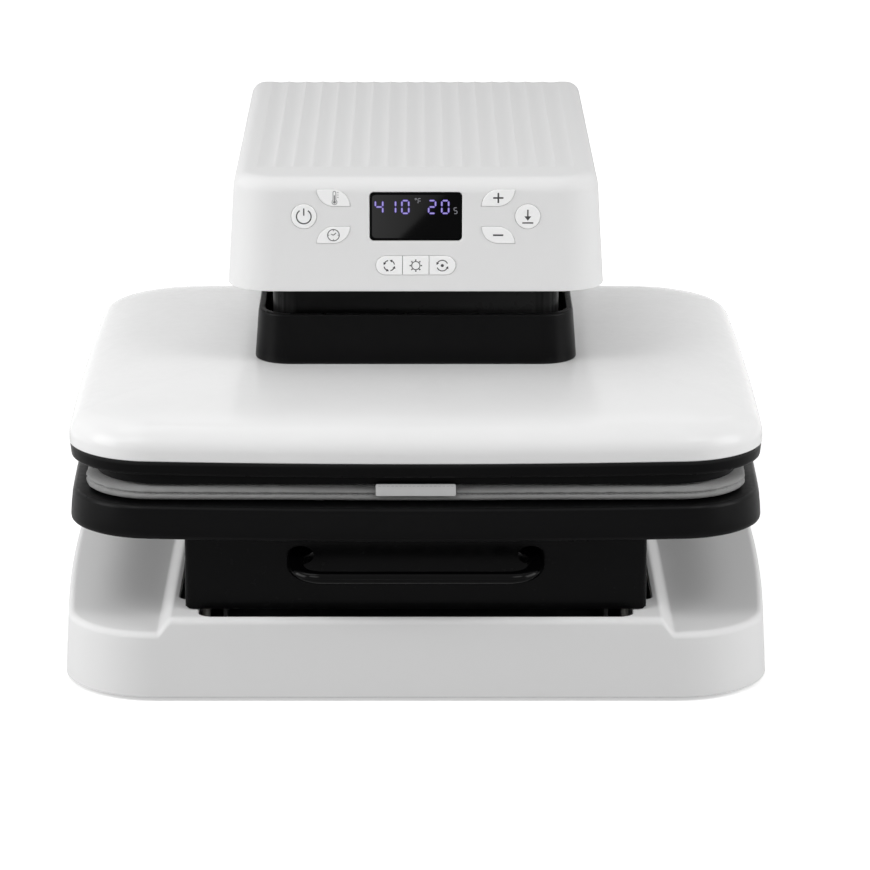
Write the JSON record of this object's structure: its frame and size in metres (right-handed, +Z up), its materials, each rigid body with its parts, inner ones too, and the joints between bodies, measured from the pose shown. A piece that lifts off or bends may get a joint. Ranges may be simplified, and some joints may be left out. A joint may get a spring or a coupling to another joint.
{
  "type": "automatic heat press",
  "caption": "Desktop heat press: a motor-driven heated upper platen on a rear column closes onto a padded lower platen that pulls out on a drawer.",
  "frame": {"origin": "on the table, under the centre of the overall footprint, handle included", "axes": "+X to the right seen from the front, +Y to the back, +Z up"},
  "size_m": [0.434, 0.4718, 0.2903],
  "materials": {
    "white_gloss": "glossy white moulded plastic",
    "white_satin": "satin white moulded plastic",
    "black_satin": "satin black plastic",
    "black_gloss": "glossy black plastic",
    "black_sheet": "black powder-coated sheet steel",
    "frame_steel": "welded plate steel",
    "zinc": "zinc-plated steel",
    "ground_steel": "ground and polished steel",
    "bronze": "bearing bronze",
    "motor_grey": "painted motor can",
    "coated_aluminium": "cast aluminium with a dark non-stick coating",
    "element_steel": "oxidised steel sheath",
    "ceramic": "unglazed ceramic",
    "blanket": "mineral fibre felt",
    "pad_fabric": "light grey heat-proof fabric over silicone foam",
    "rubber": "soft black rubber",
    "nylon": "natural nylon",
    "board": "green circuit board",
    "module": "dark moulded resin"
  },
  "bodies": {
    "chassis": {"base_shell": "white_gloss", "base_plate": "black_sheet", "rubber_feet": "rubber", "case_screws": "zinc", "slide_bed": "black_sheet", "slide_rails_fixed": "zinc", "glide_strips": "nylon", "frame_side_plates": "frame_steel", "frame_cross_bars": "frame_steel", "column_shell": "white_satin", "rear_cover": "white_satin", "head_shell": "white_satin", "head_underside": "white_satin", "inner_sleeve": "black_satin", "display_window": "black_gloss", "display_module": "module", "control_board": "board", "bearing_plate": "frame_steel", "drive_plate": "frame_steel", "plate_standoffs": "zinc", "guide_bushings": "bronze", "thrust_bearing": "ground_steel", "lift_motor": "motor_grey", "position_sensors": "board", "power_board": "board", "power_inlet": "black_satin", "switch_frame": "black_satin"},
    "upper_platen": {"platen_shell": "white_gloss", "platen_rim": "black_satin", "outer_sleeve": "black_satin", "carrier_plate": "frame_steel", "heat_plate": "coated_aluminium", "heating_element": "element_steel", "insulation_blanket": "blanket", "platen_bolts": "zinc", "ceramic_spacers": "ceramic", "guide_rods": "ground_steel", "lead_screw": "ground_steel", "thermal_cutout": "module"},
    "drawer": {"lower_platen": "black_satin", "press_pad": "pad_fabric", "pad_tab": "white_satin", "drawer_box": "black_satin", "drawer_handle": "black_gloss", "handle_screws": "zinc", "slide_rails_drawer": "zinc"},
    "rail_middles": {"slide_rails_middle": "zinc"},
    "nut": {"nut_gear": "bronze"},
    "pinion": {"motor_pinion": "frame_steel"},
    "rocker": {"power_rocker": "black_gloss"},
    "power_key": {"power_button": "white_gloss"},
    "temperature_key": {"temperature_button": "white_gloss"},
    "time_key": {"time_button": "white_gloss"},
    "plus_key": {"plus_button": "white_gloss"},
    "minus_key": {"minus_button": "white_gloss"},
    "start_key": {"start_button": "white_gloss"},
    "cycle_key": {"preset_cycle_button": "white_gloss"},
    "heat_key": {"preset_heat_button": "white_gloss"},
    "auto_key": {"preset_auto_button": "white_gloss"}
  },
  "joints": [
    {"name": "platen_lift", "type": "slide", "parent": "chassis", "child": "upper_platen", "axis": [0, 0, 1], "range_m": [0, 0.018]},
    {"name": "drawer_slide", "type": "slide", "parent": "chassis", "child": "drawer", "axis": [0, -1, 0], "range_m": [0, 0.3]},
    {"name": "rail_slide", "type": "slide", "parent": "chassis", "child": "rail_middles", "axis": [0, -1, 0], "range_m": [0, 0.15]},
    {"name": "nut_turn", "type": "hinge", "parent": "chassis", "child": "nut", "pos_m": [0, -0.01405, 0.23605], "axis": [0, 0, 1], "range_deg": [-541, 0]},
    {"name": "pinion_turn", "type": "hinge", "parent": "chassis", "child": "pinion", "pos_m": [0, 0.02505, 0.23605], "axis": [0, 0, 1], "range_deg": [0, 1801]},
    {"name": "rocker_tilt", "type": "hinge", "parent": "chassis", "child": "rocker", "pos_m": [0.022, 0.23175, 0.076], "axis": [1, 0, 0], "range_deg": [0, 20]},
    {"name": "power_press", "type": "slide", "parent": "chassis", "child": "power_key", "axis": [0, 1, 0], "range_m": [0, 0.001], "stiffness_N_per_m": 400, "springref_m": -0.001},
    {"name": "temperature_press", "type": "slide", "parent": "chassis", "child": "temperature_key", "axis": [0, 1, 0], "range_m": [0, 0.001], "stiffness_N_per_m": 400, "springref_m": -0.001},
    {"name": "time_press", "type": "slide", "parent": "chassis", "child": "time_key", "axis": [0, 1, 0], "range_m": [0, 0.001], "stiffness_N_per_m": 400, "springref_m": -0.001},
    {"name": "plus_press", "type": "slide", "parent": "chassis", "child": "plus_key", "axis": [0, 1, 0], "range_m": [0, 0.001], "stiffness_N_per_m": 400, "springref_m": -0.001},
    {"name": "minus_press", "type": "slide", "parent": "chassis", "child": "minus_key", "axis": [0, 1, 0], "range_m": [0, 0.001], "stiffness_N_per_m": 400, "springref_m": -0.001},
    {"name": "start_press", "type": "slide", "parent": "chassis", "child": "start_key", "axis": [0, 1, 0], "range_m": [0, 0.001], "stiffness_N_per_m": 400, "springref_m": -0.001},
    {"name": "cycle_press", "type": "slide", "parent": "chassis", "child": "cycle_key", "axis": [0, 1, 0], "range_m": [0, 0.001], "stiffness_N_per_m": 400, "springref_m": -0.001},
    {"name": "heat_press", "type": "slide", "parent": "chassis", "child": "heat_key", "axis": [0, 1, 0], "range_m": [0, 0.001], "stiffness_N_per_m": 400, "springref_m": -0.001},
    {"name": "auto_press", "type": "slide", "parent": "chassis", "child": "auto_key", "axis": [0, 1, 0], "range_m": [0, 0.001], "stiffness_N_per_m": 400, "springref_m": -0.001}
  ],
  "couplings": [
    {"joint": "nut_turn", "follows": "platen_lift", "rad_per_m": -523.6},
    {"joint": "pinion_turn", "follows": "platen_lift", "rad_per_m": 1745.3},
    {"joint": "rail_slide", "follows": "drawer_slide", "ratio": 0.5}
  ]
}
